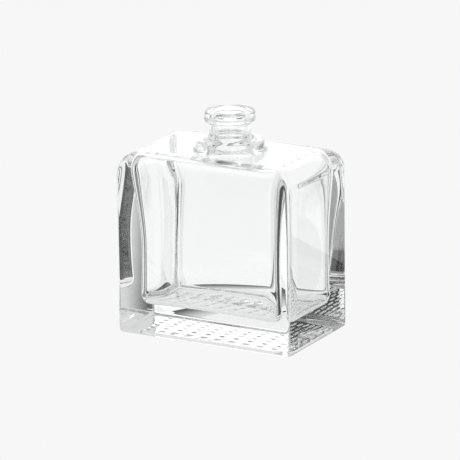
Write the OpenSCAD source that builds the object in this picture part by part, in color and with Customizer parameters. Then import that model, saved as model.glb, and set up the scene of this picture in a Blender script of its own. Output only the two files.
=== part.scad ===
/* [Body] */
// Width of the block across the front face, in mm
body_width = 57; // [44:0.5:76]
// Depth of the block from front face to back face, in mm
body_depth = 35.5; // [29:0.5:48]
// Height of the block from the table to the flat shoulder, in mm
body_height = 55; // [44:0.5:76]
// Radius that rolls the shoulder over into the two side faces
side_edge_round = 6.5; // [3:0.5:9]
// Radius that rolls the shoulder over into the front and back faces
front_edge_round = 5.5; // [3:0.5:8]
// Radius on the four upright outer edges
corner_round = 1; // [0.4:0.1:2.5]
// Radius on the outer edges round the foot
foot_round = 1; // [0.4:0.1:2]

/* [Inside] */
// Glass thickness of the side walls at their thickest height
side_wall = 5.4; // [4:0.1:7]
// Glass thickness of the front and back walls at their thickest height
front_wall = 5.4; // [4:0.1:7]
// Height above the table at which all four walls are thickest
waist_height = 24; // [18:1:30]
// Radius of the inward bow of the walls, seen in section
wall_bow_radius = 150; // [120:5:400]
// Glass thickness under the inside of the bottle, at its edges
floor_thickness = 8; // [5:0.5:12]
// Rise of the inside floor from its corners to its middle
floor_dome = 1.3; // [0.5:0.1:2]
// Glass thickness between the shoulder and the inside
shoulder_wall = 3.6; // [2.5:0.1:6]
// Radius of the upright inside corners at the waist
inner_corner_round = 3.4; // [3.2:0.1:5]
// Radius between the inside walls and the inside floor
inner_floor_round = 3.2; // [2:0.1:4]
// Radius between the inside walls and the underside of the shoulder
inner_top_round = 3.2; // [2:0.1:4]

/* [Neck] */
// Height of the neck from the shoulder to the sealing lip
neck_height = 11.6; // [10.5:0.1:15]
// Diameter of the plain neck under the bead
neck_diameter = 12.2; // [11.6:0.1:13]
// Diameter of the bead that a crimped pump ring grips
bead_diameter = 15; // [14:0.1:17]
// Height of the bead from its underside to the lip
bead_height = 3.8; // [3.4:0.1:4.5]
// Radius round the top outer edge of the bead
bead_top_round = 0.7; // [0.4:0.1:1]
// Radius that carries the bead back in to the neck
bead_under_round = 1.35; // [1:0.05:1.5]
// Depth of the seam groove round the middle of the bead
bead_groove_depth = 0.2; // [0.1:0.05:0.4]
// Radius of the tool that forms the seam groove
bead_groove_radius = 0.45; // [0.3:0.05:0.6]
// Height of the seam groove below the lip
bead_groove_drop = 1.5; // [1.3:0.05:1.7]
// Diameter of the straight hole down the neck
bore_diameter = 9.5; // [8:0.1:10]
// Radius on the inner edge of the lip
mouth_round = 0.4; // [0.2:0.1:0.6]
// Radius where the hole opens out into the inside of the bottle
bore_flare_round = 2.6; // [1:0.1:3]

/* [Skirt] */
// Diameter of the raised ring at the root of the neck
skirt_diameter = 20.1; // [18.6:0.1:24]
// Height of the raised ring above the shoulder
skirt_height = 3.1; // [2.8:0.1:4]
// Radius over the outer edge of the raised ring
skirt_round = 1.5; // [1:0.1:1.8]
// Radius between the raised ring and the shoulder
skirt_foot_round = 1.2; // [0.5:0.1:1.6]

/* [Base] */
// Width of the plain bearing rim round the underside
rim_width = 4.4; // [3:0.1:6]
// Depth of the sunk panel inside the rim
panel_depth = 0.5; // [0.3:0.1:1]
// Gap left between the grip studs and the table
stud_clearance = 0.1; // [0.05:0.05:0.2]
// Spacing of the grip studs across the width
stud_pitch_x = 4.7; // [3.5:0.1:7]
// Spacing of the grip studs across the depth
stud_pitch_y = 4.3; // [3.5:0.1:7]
// Width of one grip stud
stud_width = 1.9; // [1:0.1:2.5]
// Length of one grip stud, front to back
stud_length = 2.9; // [1.5:0.1:3.2]
// Radius on the corners of the sunk panel
panel_corner_round = 3; // [1:0.1:4]

/* [Hidden] */
$fn = 72;
broad_curve_steps = 240;
glass_tint = [0.90, 0.95, 0.95, 0.35];
overrun = 1;
neck_radius = neck_diameter / 2;
bead_radius = bead_diameter / 2;
bore_radius = bore_diameter / 2;
skirt_radius = skirt_diameter / 2;
neck_fillet = skirt_radius - skirt_round - neck_radius;
bead_base = neck_height - bead_height;
cavity_top = body_height - shoulder_wall;
cavity_half_width = body_width / 2 - side_wall;
cavity_half_depth = body_depth / 2 - front_wall;
column_x = cavity_half_width - inner_corner_round;
column_y = cavity_half_depth - inner_corner_round;
dome_reach = norm([cavity_half_width, cavity_half_depth]);
dome_radius = (dome_reach * dome_reach + floor_dome * floor_dome) / (2 * floor_dome);
panel_width = body_width - 2 * rim_width;
panel_length = body_depth - 2 * rim_width;
stud_height = panel_depth - stud_clearance;
stud_columns = floor((panel_width - stud_width - stud_clearance) / stud_pitch_x) + 1;
stud_rows = floor((panel_length - stud_length - stud_clearance) / stud_pitch_y) + 1;

// Flat outline with one radius on its two top corners and another on its two bottom corners
module rounded_outline(width, height, top_r, bottom_r) {
    half = width / 2;
    polygon([[-half + bottom_r, 0], [half - bottom_r, 0], [half, bottom_r], [half, height - top_r],
             [half - top_r, height], [-half + top_r, height], [-half, height - top_r],
             [-half, bottom_r]]);
    for (side = [-1, 1]) {
        translate([side * (half - top_r), height - top_r]) circle(r = top_r);
        translate([side * (half - bottom_r), bottom_r]) circle(r = bottom_r);
    }
}

// The outside of the block: plan, front view and side view outlines crossed with each other
module outer_block() {
    intersection() {
        translate([0, -body_depth / 2, 0]) linear_extrude(height = body_height)
            rounded_outline(body_width, body_depth, corner_round, corner_round);
        translate([0, body_depth / 2 + overrun, 0]) rotate([90, 0, 0])
            linear_extrude(height = body_depth + 2 * overrun)
            rounded_outline(body_width, body_height, side_edge_round, foot_round);
        translate([-body_width / 2 - overrun, 0, 0]) rotate([90, 0, 90])
            linear_extrude(height = body_width + 2 * overrun)
            rounded_outline(body_depth, body_height, front_edge_round, foot_round);
    }
}

// A length to the nearest thousandth of a millimetre, so that neighbouring pieces share their edges
function fine(length) = round(length * 1000) / 1000;

// Half section of one inside wall: reach at the waist, bowed above and below, rounded at both ends
module wall_section(reach) {
    bow_x = reach + wall_bow_radius;
    low_z = floor_thickness + inner_floor_round;
    high_z = cavity_top - inner_top_round;
    low_arm = wall_bow_radius + inner_floor_round;
    high_arm = wall_bow_radius + inner_top_round;
    low_in = fine(sqrt(low_arm * low_arm - pow(low_z - waist_height, 2)) - wall_bow_radius);
    high_in = fine(sqrt(high_arm * high_arm - pow(high_z - waist_height, 2)) - wall_bow_radius);
    low_touch = [reach - fine(low_in - (wall_bow_radius + low_in) * inner_floor_round / low_arm),
                 fine(low_z + (waist_height - low_z) * inner_floor_round / low_arm)];
    high_touch = [reach - fine(high_in - (wall_bow_radius + high_in) * inner_top_round / high_arm),
                  fine(high_z + (waist_height - high_z) * inner_top_round / high_arm)];
    low_x = reach - low_in;
    high_x = reach - high_in;
    intersection() {
        union() {
            difference() {
                polygon([[0, floor_thickness], [low_x, floor_thickness], low_touch, high_touch,
                         [high_x, cavity_top], [0, cavity_top]]);
                translate([bow_x, waist_height]) circle(r = wall_bow_radius, $fn = broad_curve_steps);
            }
            translate([low_x, low_z]) circle(r = inner_floor_round);
            translate([high_x, high_z]) circle(r = inner_top_round);
        }
        square([reach + side_edge_round, body_height]);
    }
}

// A slab of the inside: the wall section on both sides of the middle, drawn out along its length
module wall_slab(reach, length) {
    for (turn = [0, 180]) rotate([0, 0, turn])
        translate([0, length / 2, 0]) rotate([90, 0, 0]) linear_extrude(height = length)
        wall_section(reach);
}

// A quarter of the waisted round column that fills each upright inside corner
module corner_quarter() {
    rotate_extrude(angle = 90) wall_section(inner_corner_round);
}

// The inside of the block: two crossed slabs and a quarter column in each corner
module cavity() {
    difference() {
        union() {
            wall_slab(cavity_half_width, 2 * column_y);
            rotate([0, 0, 90]) wall_slab(cavity_half_depth, 2 * column_x);
            for (turn = [0, 180]) rotate([0, 0, turn]) {
                translate([column_x, column_y, 0]) corner_quarter();
                translate([-column_x, column_y, 0]) rotate([0, 0, 90]) corner_quarter();
            }
        }
        translate([0, 0, floor_thickness + floor_dome - dome_radius])
            sphere(r = dome_radius, $fn = broad_curve_steps);
    }
}

// The hole down the neck, rounded at the lip and flared where it meets the inside
module neck_bore() {
    lip_z = body_height + neck_height;
    rotate_extrude() {
        translate([0, cavity_top - overrun]) square([bore_radius, lip_z - cavity_top + 2 * overrun]);
        difference() {
            translate([bore_radius - overrun, lip_z - mouth_round])
                square([mouth_round + overrun, mouth_round + overrun]);
            translate([bore_radius + mouth_round, lip_z - mouth_round]) circle(r = mouth_round);
        }
        difference() {
            translate([bore_radius - overrun, cavity_top - overrun])
                square([bore_flare_round + overrun, bore_flare_round + overrun]);
            translate([bore_radius + bore_flare_round, cavity_top + bore_flare_round])
                circle(r = bore_flare_round);
        }
    }
}

// Outside of the neck: plain column, raised ring at its root, crimp bead at its top
module neck_outside() {
    translate([0, 0, body_height]) rotate_extrude() {
        translate([0, -overrun]) square([neck_radius, bead_base + bead_under_round + overrun]);
        translate([0, -overrun]) square([skirt_radius - skirt_round, skirt_height + overrun]);
        translate([0, -overrun]) square([skirt_radius, skirt_height - skirt_round + overrun]);
        translate([skirt_radius - skirt_round, skirt_height - skirt_round]) circle(r = skirt_round);
        difference() {
            translate([neck_radius, skirt_height]) square([neck_fillet, neck_fillet]);
            translate([neck_radius + neck_fillet, skirt_height + neck_fillet]) circle(r = neck_fillet);
        }
        difference() {
            translate([skirt_radius, 0]) square([skirt_foot_round, skirt_foot_round]);
            translate([skirt_radius + skirt_foot_round, skirt_foot_round]) circle(r = skirt_foot_round);
        }
        difference() {
            bead_section();
            translate([bead_radius + bead_groove_radius - bead_groove_depth, neck_height - bead_groove_drop])
                circle(r = bead_groove_radius);
        }
    }
}

// Half section of the bead, from the bore's axis out to the rim
module bead_section() {
    translate([0, bead_base + bead_under_round])
        square([bead_radius, bead_height - bead_under_round - bead_top_round]);
    translate([0, bead_base]) square([bead_radius - bead_under_round, bead_height]);
    translate([0, neck_height - bead_top_round - overrun])
        square([bead_radius - bead_top_round, bead_top_round + overrun]);
    translate([bead_radius - bead_under_round, bead_base + bead_under_round]) circle(r = bead_under_round);
    translate([bead_radius - bead_top_round, neck_height - bead_top_round]) circle(r = bead_top_round);
}

// The sunk panel under the base, less its rows of grip studs
module base_panel() {
    difference() {
        translate([0, -panel_length / 2, -overrun]) linear_extrude(height = panel_depth + overrun)
            rounded_outline(panel_width, panel_length, panel_corner_round, panel_corner_round);
        for (column = [0 : stud_columns - 1]) for (row = [0 : stud_rows - 1])
            translate([(column - (stud_columns - 1) / 2) * stud_pitch_x,
                       (row - (stud_rows - 1) / 2) * stud_pitch_y,
                       stud_clearance + (stud_height + overrun) / 2])
            cube([stud_width, stud_length, stud_height + overrun], center = true);
    }
}

module glass_bottle() {
    color(glass_tint) difference() {
        union() {
            outer_block();
            neck_outside();
        }
        cavity();
        neck_bore();
        base_panel();
    }
}

glass_bottle();
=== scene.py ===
import math

import bmesh
import bpy
from mathutils import Matrix, Vector, noise


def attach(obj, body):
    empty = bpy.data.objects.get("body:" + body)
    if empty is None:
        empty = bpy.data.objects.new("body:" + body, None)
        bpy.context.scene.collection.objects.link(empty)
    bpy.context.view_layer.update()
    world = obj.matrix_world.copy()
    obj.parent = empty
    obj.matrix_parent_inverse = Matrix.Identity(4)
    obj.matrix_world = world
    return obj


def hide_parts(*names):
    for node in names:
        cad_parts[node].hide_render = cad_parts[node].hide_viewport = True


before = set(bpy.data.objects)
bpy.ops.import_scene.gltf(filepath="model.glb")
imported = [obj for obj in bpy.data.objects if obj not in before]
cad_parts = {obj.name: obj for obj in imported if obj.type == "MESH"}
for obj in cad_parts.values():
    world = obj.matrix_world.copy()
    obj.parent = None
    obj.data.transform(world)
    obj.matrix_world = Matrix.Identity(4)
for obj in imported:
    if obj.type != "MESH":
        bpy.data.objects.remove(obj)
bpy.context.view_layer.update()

mm = 0.001
print("frame loaded")


class Wire:
    # an output socket, wrapped so that shader maths reads as Python expressions
    def __init__(self, bench, socket):
        self.bench, self.socket = bench, socket

    def combine(self, operation, first, second):
        return self.bench.add("ShaderNodeMath", {"operation": operation}, {0: first, 1: second})

    def __add__(self, other):
        return self.combine("ADD", self, other)

    def __radd__(self, other):
        return self.combine("ADD", other, self)

    def __sub__(self, other):
        return self.combine("SUBTRACT", self, other)

    def __rsub__(self, other):
        return self.combine("SUBTRACT", other, self)

    def __mul__(self, other):
        return self.combine("MULTIPLY", self, other)

    def __rmul__(self, other):
        return self.combine("MULTIPLY", other, self)


class NodeBench:
    # an emptied node tree of a material or a world, and the one way to add a node to it
    def __init__(self, owner):
        owner.use_nodes = True
        self.tree = owner.node_tree
        self.tree.nodes.clear()

    def add(self, kind, settings=None, inputs=None, output=0):
        node = self.tree.nodes.new(kind)
        for key, value in (settings or {}).items():
            setattr(node, key, value)
        for key, value in (inputs or {}).items():
            if isinstance(value, Wire):
                self.tree.links.new(value.socket, node.inputs[key])
            else:
                node.inputs[key].default_value = value
        return Wire(self, node.outputs[output]) if len(node.outputs) else node


# The camera stands to the right of the front face and a little above the bottle.
camera = {
    "turn": 29.416,
    "dip": 16.008,
    "roll": 0.756,
    "distance": 1.2505,
    "lens": 334.5,
    "sensor": 36,
    "clip": (0.05, 20),
    "aim": (-0.00069, 0.00042, 0.03013),
}


def addCamera():
    data = bpy.data.cameras.new("viewCamera")
    data.lens = camera["lens"]
    data.sensor_width = camera["sensor"]
    data.clip_start, data.clip_end = camera["clip"]
    obj = bpy.data.objects.new("viewCamera", data)
    bpy.context.scene.collection.objects.link(obj)
    look = (Matrix.Rotation(math.radians(camera["turn"]), 4, "Z")
            @ Matrix.Rotation(math.radians(90 - camera["dip"]), 4, "X")
            @ Matrix.Rotation(math.radians(-camera["roll"]), 4, "Z"))
    back = look @ Vector((0, 0, 1))
    obj.matrix_world = Matrix.Translation(Vector(camera["aim"]) + back * camera["distance"]) @ look
    bpy.context.scene.camera = obj
    print("camera placed at", [round(v, 4) for v in obj.matrix_world.translation])


addCamera()

# The bottle's sizes, in millimetres.
block = {
    "halfWidth": 28.5,
    "halfDepth": 17.75,
    "height": 55.0,
    "sideEdgeRound": 6.5,
    "frontEdgeRound": 5.5,
    "cornerRound": 1.0,
    "footRound": 1.0,
}
inside = {
    "halfWidth": 23.1,
    "halfDepth": 12.35,
    "waistHeight": 24.0,
    "bowRadius": 150.0,
    "floorHeight": 8.0,
    "floorDome": 1.3,
    "ceilingHeight": 52.2,
    "cornerRound": 3.4,
    "floorRound": 3.8,
    "floorBlend": 1.2,
    "topRound": 3.1,
    "leftLean": 0.097,
    "leftTurn": 0.266,
    "leftTurnStart": -6.6,
    "leftTurnLength": 11.0,
    "leftFlare": 1.0,
    "backFlare": 0.8,
    "flareStart": 27.0,
    "flareEnd": 47.0,
}
neck = {
    "height": 11.6,
    "radius": 6.1,
    "beadRadius": 7.5,
    "beadHeight": 3.8,
    "beadTopRound": 0.7,
    "beadUnderRound": 1.35,
    "beadUnderStart": -78,
    "beadRootRound": 0.25,
    "grooveDepth": 0.2,
    "grooveRadius": 0.45,
    "grooveDrop": 1.5,
    "boreRadius": 4.75,
    "mouthRound": 0.4,
    "flareRound": 4.4,
    "skirtRadius": 10.05,
    "skirtHeight": 3.1,
    "skirtRound": 1.5,
    "skirtFootRound": 1.2,
}
underside = {
    "rimWidth": 4.4,
    "panelDepth": 0.5,
    "panelCorner": 3.0,
    "panelEdgeRound": 0.2,
    "panelDome": 0.5,
    "studHeight": 0.26,
    "studPitch": (4.7, 4.3),
    "studCount": (10, 6),
    "studSize": (1.9, 2.9),
    "studEdge": 1.3,
    "patchHalf": (22.5, 12.5),
    "patchStep": 0.25,
}
# How finely the glass skin is divided, and how far blown glass strays from true.
skin = {
    "alongWidth": 46,
    "alongDepth": 26,
    "aroundCorner": 12,
    "wallStep": 1.4,
    "arcStep": 7.0,
    "endMargin": 0.12,
    "rimStep": 1.1,
    "shoulderSteps": 24,
    "neckStep": 0.8,
    "beadStep": 0.4,
    "lipStep": 0.5,
    "boreStep": 1.0,
    "floorRings": 25,
    "floorPole": 0.4,
    "insideRipple": 0.01,
    "insideRippleSize": 15.0,
    "outsideRipple": 0.01,
    "outsideRippleSize": 20.0,
    "rippleSeed": 7.3,
    "rippleMargin": 2.8,
    "rippleBelowShoulder": 8,
}
ringCount = 2 * (skin["alongWidth"] + skin["alongDepth"]) + 4 * skin["aroundCorner"]


def arc(centre, radius, start, end):
    # points along an arc, angles in degrees
    steps = max(3, round(abs(end - start) / skin["arcStep"]))
    angles = [math.radians(start + (end - start) * k / steps) for k in range(steps + 1)]
    return [(centre[0] + radius * math.cos(a), centre[1] + radius * math.sin(a)) for a in angles]


def straight(start, end, step):
    # points between two ends that stay out of the list, with one close to each end
    length = math.dist(start, end)
    margin = min(skin["endMargin"], length / 4)
    count = max(1, round((length - 2 * margin) / step))
    places = [margin + (length - 2 * margin) * k / count for k in range(count + 1)]
    return [tuple(a + (b - a) * p / length for a, b in zip(start, end)) for p in places]


def boxRing(halfWidth, halfDepth, corner, z):
    # a rounded rectangle, anticlockwise from the top of the right-hand side
    straightX, straightY = halfWidth - corner, halfDepth - corner
    centres = [(straightX, straightY), (-straightX, straightY),
               (-straightX, -straightY), (straightX, -straightY)]
    ring = []
    for side, (x, y) in enumerate(centres):
        for k in range(skin["aroundCorner"] + 1):
            angle = math.radians(90 * (side + k / skin["aroundCorner"]))
            ring.append(Vector((x + corner * math.cos(angle), y + corner * math.sin(angle), z)))
        nextX, nextY = centres[(side + 1) % 4]
        goal = ring[-1] + Vector((nextX - x, nextY - y, 0))
        count = skin["alongDepth"] if side % 2 else skin["alongWidth"]
        ring += [ring[-1].lerp(goal, k / count) for k in range(1, count)]
    return ring


def roundRing(radius, z):
    first = skin["alongDepth"] / 2
    angles = [2 * math.pi * (k + first) / ringCount for k in range(ringCount)]
    return [Vector((radius * math.cos(a), radius * math.sin(a), z)) for a in angles]


def between(first, last, shares):
    return [[a.lerp(b, share) for a, b in zip(first, last)] for share in shares]


def undersideRings():
    # from the edge of the studded patch out over the standing rim to the foot of the walls
    width, depth = block["halfWidth"], block["halfDepth"]
    foot, rim = block["footRound"], underside["rimWidth"]
    edge, panelTop = underside["panelEdgeRound"], underside["panelDepth"]
    line = arc((-edge, panelTop - edge), edge, 90, 0) + arc((edge, edge), edge, 180, 270)
    line += straight((edge, 0), (rim - foot, 0), skin["rimStep"]) + arc((rim - foot, foot), foot, -90, 0)
    rings = []
    for out, z in line:
        tighten = min(max(out / rim, 0), 1)
        corner = underside["panelCorner"] * (1 - tighten) + block["cornerRound"] * tighten
        rings.append(boxRing(width - rim + out, depth - rim + out, corner, z))
    return rings


def outsideRings():
    # the upright walls and the rolled shoulder edges, rounder at the sides than at the front
    width, depth, height = block["halfWidth"], block["halfDepth"], block["height"]
    sideRound, frontRound = block["sideEdgeRound"], block["frontEdgeRound"]
    corner = block["cornerRound"]
    shoulder = height - sideRound
    heights = [z for _, z in straight((0, block["footRound"]), (0, shoulder), skin["wallStep"])]
    rings = [boxRing(width, depth, corner, z) for z in heights]
    for k in range(skin["shoulderSteps"] + 1):
        turn = math.radians(90 * k / skin["shoulderSteps"])
        z = shoulder + sideRound * math.sin(turn)
        rise = min(max((z - height + frontRound) / frontRound, 0), 1)
        rollX = sideRound * (1 - math.cos(turn))
        rollY = frontRound * (1 - math.sqrt(1 - rise * rise))
        rings.append(boxRing(width - rollX, depth - rollY, corner, z))
    return rings


def neckLine():
    # radius and height, from the foot of the raised ring up over the bead and down the bore
    n = neck
    shoulder, top = block["height"], block["height"] + neck["height"]
    fillet = n["skirtRadius"] - n["skirtRound"] - n["radius"]
    skirtTop = shoulder + n["skirtHeight"]
    beadLow = top - n["beadHeight"]
    under, lip, root = n["beadUnderRound"], n["beadTopRound"], n["beadRootRound"]
    dip = n["grooveRadius"] - n["grooveDepth"]
    reach = math.sqrt(n["grooveRadius"] ** 2 - dip ** 2)
    swing = math.degrees(math.acos(dip / n["grooveRadius"]))
    grooveZ = top - n["grooveDrop"]
    bore, mouth, flare = n["boreRadius"], n["mouthRound"], n["flareRound"]
    ceiling = inside["ceilingHeight"]
    line = arc((n["skirtRadius"] + n["skirtFootRound"], shoulder + n["skirtFootRound"]),
               n["skirtFootRound"], 270, 180)
    line += straight((n["skirtRadius"], shoulder + n["skirtFootRound"]),
                     (n["skirtRadius"], skirtTop - n["skirtRound"]), skin["neckStep"])
    line += arc((n["skirtRadius"] - n["skirtRound"], skirtTop - n["skirtRound"]), n["skirtRound"], 0, 90)
    line += arc((n["radius"] + fillet, skirtTop + fillet), fillet, 270, 180)[1:]
    line += straight((n["radius"], skirtTop + fillet), (n["radius"], beadLow - root), skin["neckStep"])
    line += arc((n["radius"] + root, beadLow - root), root, 180, 90)
    line += arc((n["beadRadius"] - under, beadLow + under), under, n["beadUnderStart"], 0)
    line += straight((n["beadRadius"], beadLow + under), (n["beadRadius"], grooveZ - reach),
                     skin["beadStep"])
    line += arc((n["beadRadius"] + dip, grooveZ), n["grooveRadius"], 180 + swing, 180 - swing)
    line += straight((n["beadRadius"], grooveZ + reach), (n["beadRadius"], top - lip), skin["beadStep"])
    line += arc((n["beadRadius"] - lip, top - lip), lip, 0, 90)
    line += straight((n["beadRadius"] - lip, top), (bore + mouth, top), skin["lipStep"])
    line += arc((bore + mouth, top - mouth), mouth, 90, 180)
    line += straight((bore, top - mouth), (bore, ceiling + flare), skin["boreStep"])
    line += arc((bore + flare, ceiling + flare), flare, 180, 270)
    return line


def wallLine():
    # distance out from the waist, and height, down one inside wall from the ceiling to the floor
    bow, waist = inside["bowRadius"], inside["waistHeight"]
    topRound, lowRound = inside["topRound"], inside["floorRound"]
    topZ, lowZ = inside["ceilingHeight"] - topRound, inside["floorHeight"] + lowRound
    topLean = math.asin((topZ - waist) / (bow + topRound))
    lowLean = math.asin((lowZ - waist) / (bow + lowRound))
    topX = bow - (bow + topRound) * math.cos(topLean)
    lowX = bow - (bow + lowRound) * math.cos(lowLean)
    line = arc((topX, topZ), topRound, 90, -math.degrees(topLean))
    steps = round((topZ - lowZ) / skin["wallStep"])
    for k in range(1, steps):
        lean = topLean + (lowLean - topLean) * k / steps
        line.append((bow - bow * math.cos(lean), waist + bow * math.sin(lean)))
    return line + arc((lowX, lowZ), lowRound, -math.degrees(lowLean), -90)


def domeHeight(x, y):
    reach = math.hypot(inside["halfWidth"], inside["halfDepth"])
    radius = (reach ** 2 + inside["floorDome"] ** 2) / (2 * inside["floorDome"])
    return inside["floorHeight"] + inside["floorDome"] - radius + math.sqrt(radius ** 2 - x * x - y * y)


def leftPinch(y):
    # the left wall leans in from the front and turns outwards again towards the back
    length = inside["leftTurnLength"]
    t = (y - inside["leftTurnStart"]) / length
    turned = length * (0.5 + t - 1) if t > 1 else length * (t ** 3 - t ** 4 / 2) if t > 0 else 0
    return inside["leftLean"] * (y + inside["halfDepth"]) - inside["leftTurn"] * turned


def insideRings():
    width, depth, corner = inside["halfWidth"], inside["halfDepth"], inside["cornerRound"]
    rings = [boxRing(width + u, depth + u, corner + u, z) for u, z in wallLine()]
    edge = rings[-1]
    for k in range(1, skin["floorRings"] + 1):
        share = 1 - k / (skin["floorRings"] + skin["floorPole"])
        rings.append([Vector((p.x * share, p.y * share, p.z)) for p in edge])
    for ring in rings:
        for p in ring:
            # the left and back walls thin out towards the shoulder
            rise = min(max((p.z - inside["flareStart"]) / (inside["flareEnd"] - inside["flareStart"]), 0), 1)
            rise *= rise * (3 - 2 * rise)
            p.x += min(p.x / width, 0) * inside["leftFlare"] * rise
            p.y += max(p.y / depth, 0) * inside["backFlare"] * rise
            p.x -= min(p.x / width, 0) * leftPinch(p.y)
            # the walls run down smoothly on to the domed floor
            low, soft = domeHeight(p.x, p.y), inside["floorBlend"]
            gap = p.z - low
            if gap < soft:
                p.z = low + (soft + gap) ** 2 / (4 * soft) if gap > -soft else low
    return rings


def skinRings():
    rings = undersideRings() + outsideRings()
    foot = roundRing(neck["skirtRadius"] + neck["skirtFootRound"], block["height"])
    rings += between(rings[-1], foot, [0.01, 0.1, 0.2, 0.3, 0.4, 0.5, 0.6, 0.7, 0.8, 0.9, 0.98])
    rings += [roundRing(radius, z) for radius, z in neckLine()]
    inner = insideRings()
    rings += between(rings[-1], inner[0], [0.02, 0.1, 0.2, 0.3, 0.4, 0.5, 0.6, 0.7, 0.8, 0.9, 0.985])
    return rings + inner


def studHeight(x, y):
    height = underside["studHeight"]
    sizes = zip((x, y), underside["studPitch"], underside["studCount"], underside["studSize"])
    for place, pitch, count, size in sizes:
        step = place / pitch + (count - 1) / 2
        nearest = min(max(round(step), 0), count - 1)
        inward = 0.5 - (abs(step - nearest) * pitch - size / 2) / underside["studEdge"]
        inward = min(max(inward, 0), 1)
        height *= inward * inward * (3 - 2 * inward)
    return height


def addStudPatch(bm):
    # the studded middle of the underside, and the flat band that joins it to the first ring
    halfX, halfY = underside["patchHalf"]
    step = underside["patchStep"]
    grid = bmesh.ops.create_grid(bm, x_segments=round(2 * halfX / step),
                                 y_segments=round(2 * halfY / step), size=0.5)["verts"]
    for v in grid:
        v.co.x *= 2 * halfX
        v.co.y *= 2 * halfY
        hollow = (1 - (v.co.x / halfX) ** 2) * (1 - (v.co.y / halfY) ** 2)
        v.co.z = underside["panelDepth"] + underside["panelDome"] * hollow - studHeight(v.co.x, v.co.y)
    rim = [e for e in bm.edges if e.is_boundary and min(v.co.z for v in e.verts) > 0
           and max(v.co.z for v in e.verts) < 1]
    bmesh.ops.triangle_fill(bm, use_beauty=True, use_dissolve=False, edges=rim)


def addRipple(bm):
    # blown glass: the inside wanders more than the outside
    bm.normal_update()
    limit = (inside["halfWidth"] + skin["rippleMargin"], inside["halfDepth"] + skin["rippleMargin"])
    plainTop = block["height"] - skin["rippleBelowShoulder"]
    for v in bm.verts:
        isInside = (abs(v.co.x) < limit[0] and abs(v.co.y) < limit[1]
                    and inside["floorHeight"] - 1 < v.co.z < inside["ceilingHeight"] + 0.2)
        if not isInside and not block["footRound"] < v.co.z < plainTop:
            continue
        name = "inside" if isInside else "outside"
        place = v.co / skin[name + "RippleSize"] + Vector((skin["rippleSeed"], 0, 0))
        v.co += v.normal * noise.noise(place) * skin[name + "Ripple"] * 2


def addBottle(material):
    rings = skinRings()
    rows = len(rings) - 1
    bm = bmesh.new()
    bmesh.ops.create_grid(bm, x_segments=ringCount, y_segments=rows, size=0.5)
    for v in bm.verts:
        across, along = round((v.co.x + 0.5) * ringCount), round((v.co.y + 0.5) * rows)
        v.co = rings[along][across % ringCount]
    bmesh.ops.remove_doubles(bm, verts=bm.verts, dist=0.0005)
    pole = [e for e in bm.edges if e.is_boundary and e.verts[0].co.z > inside["floorHeight"]]
    bmesh.ops.contextual_create(bm, geom=pole)
    addStudPatch(bm)
    bmesh.ops.recalc_face_normals(bm, faces=bm.faces)
    addRipple(bm)
    bmesh.ops.scale(bm, verts=bm.verts, vec=(mm, mm, mm))
    for face in bm.faces:
        face.smooth = True
    data = bpy.data.meshes.new("bottleGlass")
    openEdges = sum(1 for e in bm.edges if not e.is_manifold)
    print("bottle skin:", len(rings), "rings,", len(bm.faces), "faces,", openEdges, "open edges,",
          round(bm.calc_volume() * 1e6, 2), "cm3 of glass")
    bm.to_mesh(data)
    bm.free()
    data.materials.append(material)
    obj = bpy.data.objects.new("bottleGlass", data)
    bpy.context.scene.collection.objects.link(obj)
    return obj


glassLook = {
    "clearTint": (0.990, 0.997, 0.995, 1.0),
    "deepTint": (0.978, 0.992, 0.988, 1.0),
    "roughness": 0.0,
    "ior": 1.5,
    "cordsPerMetre": 55.0,
    "cordStretch": (1.0, 1.0, 0.35),
    "skinPerMetre": 240.0,
    "skinShare": 0.15,
    "waveDepth": 0.000012,
    "waveStrength": 0.25,
}


def glassMaterial():
    # clear glass with the slow vertical waves and faint uneven tint that a mould leaves in it
    look = glassLook
    material = bpy.data.materials.new("clearFlintGlass")
    bench = NodeBench(material)
    place = bench.add("ShaderNodeTexCoord", output="Object")
    along = bench.add("ShaderNodeMapping", None, {"Vector": place, "Scale": look["cordStretch"]})
    cords = bench.add("ShaderNodeTexNoise", None, {
        "Vector": along, "Scale": look["cordsPerMetre"], "Detail": 1.0})
    fine = bench.add("ShaderNodeTexNoise", None, {
        "Vector": place, "Scale": look["skinPerMetre"], "Detail": 2.0})
    height = cords * (1 - look["skinShare"]) + fine * look["skinShare"]
    wave = bench.add("ShaderNodeBump", None, {
        "Height": height, "Distance": look["waveDepth"], "Strength": look["waveStrength"]})
    tint = bench.add("ShaderNodeMix", {"data_type": "RGBA"}, {
        "Factor": cords, "A": look["clearTint"], "B": look["deepTint"]}, "Result")
    shader = bench.add("ShaderNodeBsdfPrincipled", None, {
        "Base Color": tint,
        "Roughness": look["roughness"],
        "IOR": look["ior"],
        "Transmission Weight": 1.0,
        "Normal": wave,
    })
    bench.add("ShaderNodeOutputMaterial", None, {"Surface": shader})
    return material


bottle = addBottle(glassMaterial())
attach(bottle, "root")
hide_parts("glass_bottle")

# Everything round the bottle glows evenly, and the flags, with the painted shade and light that they lay on
# the floor round the bottle, are seen only in the glass.
studio = {
    "backdrop": 0.93,
    "floorReach": 3.0,
    "flagReach": 0.45,
    "flagHeight": 0.60,
    "floorShadingFadeStart": 0.13,
    "flagSegments": 12,
    "cardGap": 0.0001,
    "bounces": 32,
}
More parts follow.
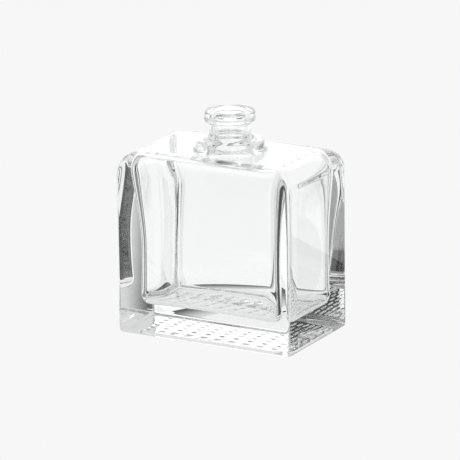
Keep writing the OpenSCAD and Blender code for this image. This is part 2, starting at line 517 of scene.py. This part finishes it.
# Each flag lies on the floor and then stands up at its outer end. Where a flag starts near the bottle,
# its part on the floor is painted shade round the bottle, going from nearShade to farShade further out
# (painted light behind the bottle in rearGlow). Directions are in degrees,
# anticlockwise from +X, for the two sides at its nearest point and further out.
flagsAndFloorShading = {
    "frontLeftFlagAndShade": {
        "near": (166, 300), "far": (204, 300), "nearest": 0.036, "nearShade": 0.28, "farShade": 0.05},
    "frontFlagAndShade": {
        "near": (330, 352), "far": (330, 352), "nearest": 0.036, "nearShade": 0.05, "farShade": 0.25},
    "leftFlagAndShade": {
        "near": (150, 166), "far": (150, 166), "nearest": 0.036, "nearShade": 0.01, "farShade": 0.50},
    "leftHighFlag": {
        "near": (166, 204), "far": (166, 204), "nearest": 0.44, "nearShade": 0.70, "farShade": 0.70},
    "rightFlagAndShade": {
        "near": (-8, 84), "far": (-8, 42), "nearest": 0.037, "nearShade": 0.05, "farShade": 0.70},
    "rightRearFlag": {
        "near": (40, 85), "far": (40, 85), "nearest": 0.44, "nearShade": 0.70, "farShade": 0.70},
    "rearGlow": {
        "near": (84, 141), "far": (98, 141), "nearest": 0.030, "nearShade": 1.05, "farShade": 1.15},
}
ceiling = {"shade": 0.3, "height": 0.6, "reach": 0.6}
# painted shadow: the floor right under the bottle is a little darker than the rest, a card seen only in the
# glass
underShade = {"halfWidth": 0.0275, "halfDepth": 0.0168, "shade": 0.80}
floorLevel = -0.0004
# painted shade on the floor: a narrow darker strip behind the left edge, seen only in the glass: its two
# ends, width, and shades across it
strip = {
    "start": (-0.0210, 0.0200),
    "end": (0.0600, 0.1637),
    "width": 0.0100,
    "left": 0.10,
    "right": 0.72,
}


def glowMaterial(name, shade):
    material = bpy.data.materials.new(name)
    bench = NodeBench(material)
    glow = bench.add("ShaderNodeEmission", None, {"Color": (shade, shade, shade, 1), "Strength": 1.0})
    bench.add("ShaderNodeOutputMaterial", None, {"Surface": glow})
    return material


def fadeMaterial(name, operation, inputs, places, shades):
    # a glowing card whose shade changes smoothly from one measured place to another
    material = bpy.data.materials.new(name)
    bench = NodeBench(material)
    place = bench.add("ShaderNodeTexCoord", None, None, "Object")
    measure = bench.add("ShaderNodeVectorMath", {"operation": operation}, {0: place, **inputs}, "Value")
    share = bench.add("ShaderNodeMapRange", {"interpolation_type": "SMOOTHSTEP"},
                      {"Value": measure, "From Min": places[0], "From Max": places[1]})
    first, last = [(shade, shade, shade, 1) for shade in shades]
    shade = bench.add("ShaderNodeMix", {"data_type": "RGBA"}, {"Factor": share, "A": first, "B": last},
                      "Result")
    glow = bench.add("ShaderNodeEmission", None, {"Color": shade})
    bench.add("ShaderNodeOutputMaterial", None, {"Surface": glow})
    return material


def addPanel(name, material, across=1, along=1):
    # a square with sides of one metre, facing up; the caller moves its corners into place
    bm = bmesh.new()
    bmesh.ops.create_grid(bm, x_segments=across, y_segments=along, size=0.5)
    data = bpy.data.meshes.new(name)
    bm.to_mesh(data)
    bm.free()
    data.materials.append(material)
    obj = bpy.data.objects.new(name, data)
    bpy.context.scene.collection.objects.link(obj)
    return obj


# painted floor shading: a flag's part on the floor near the bottle is painted shade (painted light in
# rearGlow) that fades with distance from the bottle
def addFlagAndFloorShading(name, flagAndFloorShading):
    reach, nearest = studio["flagReach"], flagAndFloorShading["nearest"]
    card = fadeMaterial(name + "Card", "LENGTH", {}, (studio["floorShadingFadeStart"], reach / 2),
                        (flagAndFloorShading["nearShade"], flagAndFloorShading["farShade"]))
    obj = addPanel(name, card, studio["flagSegments"], 3)
    for v in obj.data.vertices:
        step = round(3 * (v.co.y + 0.5))
        away = (nearest, max(nearest, reach / 2), reach, reach)[step]
        start, end = flagAndFloorShading["near"] if step == 0 else flagAndFloorShading["far"]
        angle = math.radians(start + (end - start) * (v.co.x + 0.5))
        height = studio["flagHeight"] if step == 3 else floorLevel + studio["cardGap"]
        v.co = (away * math.cos(angle), away * math.sin(angle), height)
    obj.visible_camera = False


# the painted shade strip lying on the floor behind the left edge
def addStrip():
    start, end = Vector(strip["start"]), Vector(strip["end"])
    across = (end - start).orthogonal().normalized() * strip["width"]
    middle = start.dot(across)
    half = across.dot(across) / 2
    card = fadeMaterial("edgeStripCard", "DOT_PRODUCT", {1: (across.x, across.y, 0)},
                        (middle - half, middle + half), (strip["right"], strip["left"]))
    obj = addPanel("edgeStrip", card)
    for v in obj.data.vertices:
        place = start.lerp(end, v.co.y + 0.5) + across * v.co.x
        v.co = (place.x, place.y, floorLevel + 2 * studio["cardGap"])
    obj.visible_camera = False


def addStage():
    world = bpy.data.worlds.new("studioWorld")
    bpy.context.scene.world = world
    bench = NodeBench(world)
    shade = studio["backdrop"]
    glow = bench.add("ShaderNodeBackground", None, {"Color": (shade, shade, shade, 1), "Strength": 1.0})
    bench.add("ShaderNodeOutputWorld", None, {"Surface": glow})
    floor = addPanel("paleFloor", glowMaterial("paleFloorGlow", shade))
    for v in floor.data.vertices:
        v.co *= 2 * studio["floorReach"]
        v.co.z = floorLevel
    for name, flagAndFloorShading in flagsAndFloorShading.items():
        addFlagAndFloorShading(name, flagAndFloorShading)
    addStrip()
    lid = addPanel("ceilingCard", glowMaterial("ceilingGlow", ceiling["shade"]))
    for v in lid.data.vertices:
        v.co *= 2 * ceiling["reach"]
        v.co.z = ceiling["height"]
    lid.visible_camera = False
    # painted shadow under the bottle: a darker card that the camera does not see
    under = addPanel("underShade", glowMaterial("underShadeCard", underShade["shade"]))
    for v in under.data.vertices:
        v.co.x *= 2 * underShade["halfWidth"]
        v.co.y *= 2 * underShade["halfDepth"]
        v.co.z = floorLevel + 3 * studio["cardGap"]
    under.visible_camera = False
    scene = bpy.context.scene
    scene.view_settings.view_transform = "Standard"
    scene.view_settings.look = "None"
    for limit in ("max_bounces", "transmission_bounces", "glossy_bounces"):
        setattr(scene.cycles, limit, studio["bounces"])
    print("floor and flags placed")


addStage()
